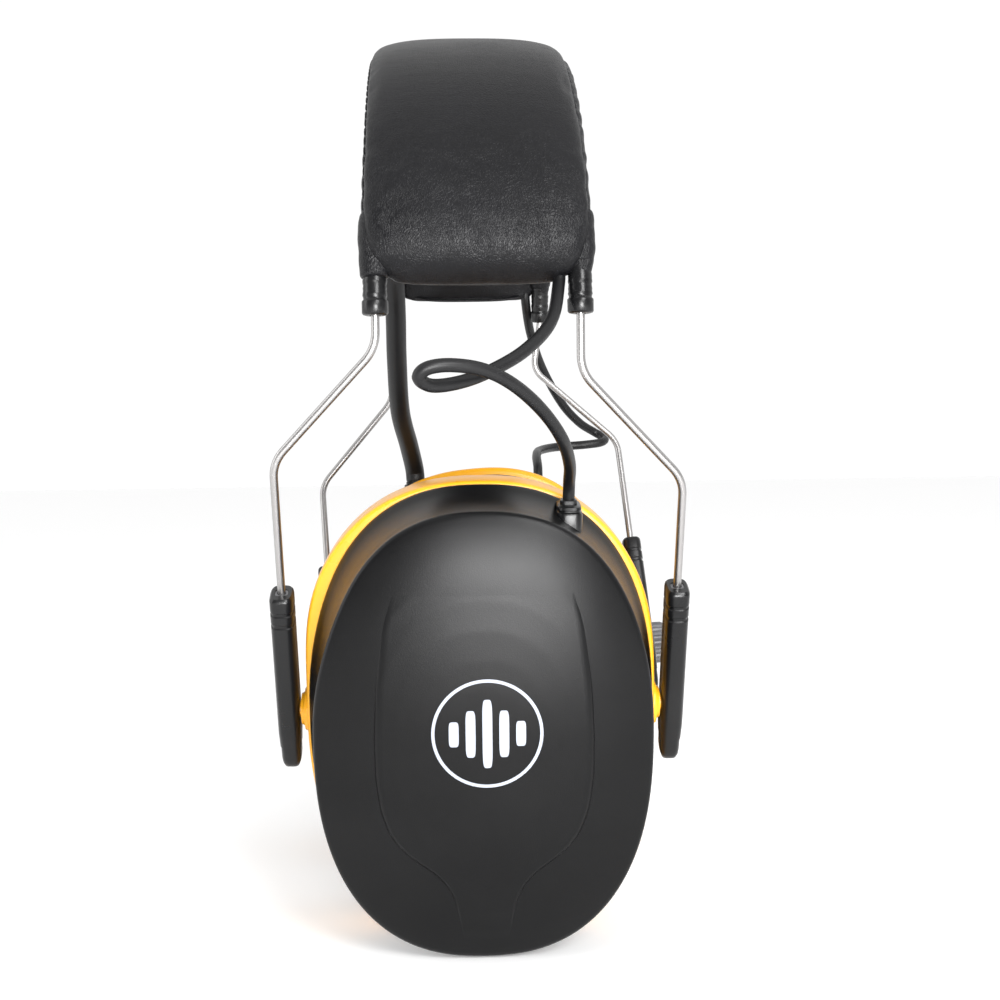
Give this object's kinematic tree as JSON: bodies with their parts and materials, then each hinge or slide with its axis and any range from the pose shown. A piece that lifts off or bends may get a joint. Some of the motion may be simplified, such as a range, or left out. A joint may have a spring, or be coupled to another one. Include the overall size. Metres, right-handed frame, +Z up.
{
  "type": "earmuff hearing protector",
  "caption": "Over-the-head ear defenders: sealed sound-damping cups on sliding spring wires under a padded headband, with looped leads, a volume knob and a whip antenna.",
  "frame": {"origin": "underside of the headband pad at the middle of the head, where it rests on the crown", "axes": "+Z up, +Y from the left cup to the right cup, +X towards the wearer's back"},
  "size_m": [0.1153, 0.223, 0.235],
  "materials": {
    "leatherette": "black leatherette, fine grain, semi-matt",
    "foam": "open-cell foam",
    "black_plastic": "satin black moulded plastic",
    "yellow_plastic": "glossy warm yellow moulded plastic",
    "gloss_black": "glossy black moulded plastic",
    "spring_steel": "bright plated spring wire",
    "screw_steel": "zinc-plated steel",
    "lead_jacket": "smooth black flexible jacket",
    "grey_plastic": "dark grey moulded plastic",
    "board_green": "green solder mask",
    "battery_silver": "pouch cell foil"
  },
  "bodies": {
    "headband": {"headband_cover": "leatherette", "headband_foam": "foam", "crown_plate": "black_plastic", "front_crown_wire": "spring_steel", "rear_crown_wire": "spring_steel", "left_front_boot": "gloss_black", "left_rear_boot": "gloss_black", "right_front_boot": "gloss_black", "right_rear_boot": "gloss_black", "crown_lead": "lead_jacket", "left_lead": "lead_jacket", "right_lead": "lead_jacket"},
    "left_arm": {"left_front_wire": "spring_steel", "left_rear_wire": "spring_steel"},
    "left_front_slider": {"left_front_slider": "gloss_black", "left_front_guide_bush": "grey_plastic"},
    "left_rear_slider": {"left_rear_slider": "gloss_black", "left_rear_guide_bush": "grey_plastic"},
    "right_arm": {"right_front_wire": "spring_steel", "right_rear_wire": "spring_steel"},
    "right_front_slider": {"right_front_slider": "gloss_black", "right_front_guide_bush": "grey_plastic"},
    "right_rear_slider": {"right_rear_slider": "gloss_black", "right_rear_guide_bush": "grey_plastic"},
    "left_cup": {"left_cup_base": "yellow_plastic", "left_cup_shell": "black_plastic", "left_cushion_ring": "black_plastic", "left_ear_cushion": "leatherette", "left_ear_foam": "foam", "left_speaker": "grey_plastic", "left_sound_foam": "foam", "left_shell_screw_1": "screw_steel", "left_shell_screw_2": "screw_steel", "left_shell_screw_3": "screw_steel", "left_lead_relief": "gloss_black", "left_battery": "battery_silver"},
    "right_cup": {"right_cup_base": "yellow_plastic", "right_cup_shell": "black_plastic", "right_cushion_ring": "black_plastic", "right_ear_cushion": "leatherette", "right_ear_foam": "foam", "right_speaker": "grey_plastic", "right_sound_foam": "foam", "right_shell_screw_1": "screw_steel", "right_shell_screw_2": "screw_steel", "right_shell_screw_3": "screw_steel", "right_lead_relief": "gloss_black", "right_circuit_board": "board_green", "volume_control": "black_plastic", "antenna_socket": "gloss_black"},
    "volume_knob": {"volume_knob": "grey_plastic"},
    "antenna": {"antenna_whip": "lead_jacket"}
  },
  "joints": [
    {"name": "left_arm_flex", "type": "hinge", "parent": "headband", "child": "left_arm", "pos_m": [0, -0.07495, -0.06859], "axis": [-1, 0, 0], "range_deg": [0, 20], "stiffness_Nm_per_rad": 5, "deforming": ["left_lead"]},
    {"name": "left_front_slide", "type": "slide", "parent": "left_arm", "child": "left_front_slider", "axis": [0, -0.3746, 0.9272], "range_m": [0, 0.013]},
    {"name": "left_rear_slide", "type": "slide", "parent": "left_arm", "child": "left_rear_slider", "axis": [0, -0.3746, 0.9272], "range_m": [0, 0.013]},
    {"name": "left_cup_tilt", "type": "hinge", "parent": "left_front_slider", "child": "left_cup", "pos_m": [0, -0.04265, -0.16566], "axis": [1, 0, 0], "range_deg": [-12, 12]},
    {"name": "right_arm_flex", "type": "hinge", "parent": "headband", "child": "right_arm", "pos_m": [0, 0.07398, -0.05865], "axis": [1, 0, 0], "range_deg": [0, 20], "stiffness_Nm_per_rad": 5, "deforming": ["right_lead"]},
    {"name": "right_front_slide", "type": "slide", "parent": "right_arm", "child": "right_front_slider", "axis": [-0.0727, 0.3746, 0.9243], "range_m": [0, 0.013]},
    {"name": "right_rear_slide", "type": "slide", "parent": "right_arm", "child": "right_rear_slider", "axis": [-0.0727, 0.3746, 0.9243], "range_m": [0, 0.013]},
    {"name": "right_cup_tilt", "type": "hinge", "parent": "right_front_slider", "child": "right_cup", "pos_m": [0.00474, 0.04265, -0.16547], "axis": [0.9969, 0, 0.0785], "range_deg": [-12, 12]},
    {"name": "volume_knob_turn", "type": "hinge", "parent": "right_cup", "child": "volume_knob", "pos_m": [0.05586, 0.06033, -0.16496], "axis": [0.9969, 0, 0.0785], "range_deg": [0, 270]},
    {"name": "antenna_flex", "type": "hinge", "parent": "right_cup", "child": "antenna", "pos_m": [-0.01785, 0.06164, -0.11168], "axis": [-1, 0, 0], "range_deg": [0, 28], "stiffness_Nm_per_rad": 0.2}
  ],
  "couplings": [
    {"joint": "left_rear_slide", "follows": "left_front_slide", "ratio": 1},
    {"joint": "right_rear_slide", "follows": "right_front_slide", "ratio": 1}
  ]
}
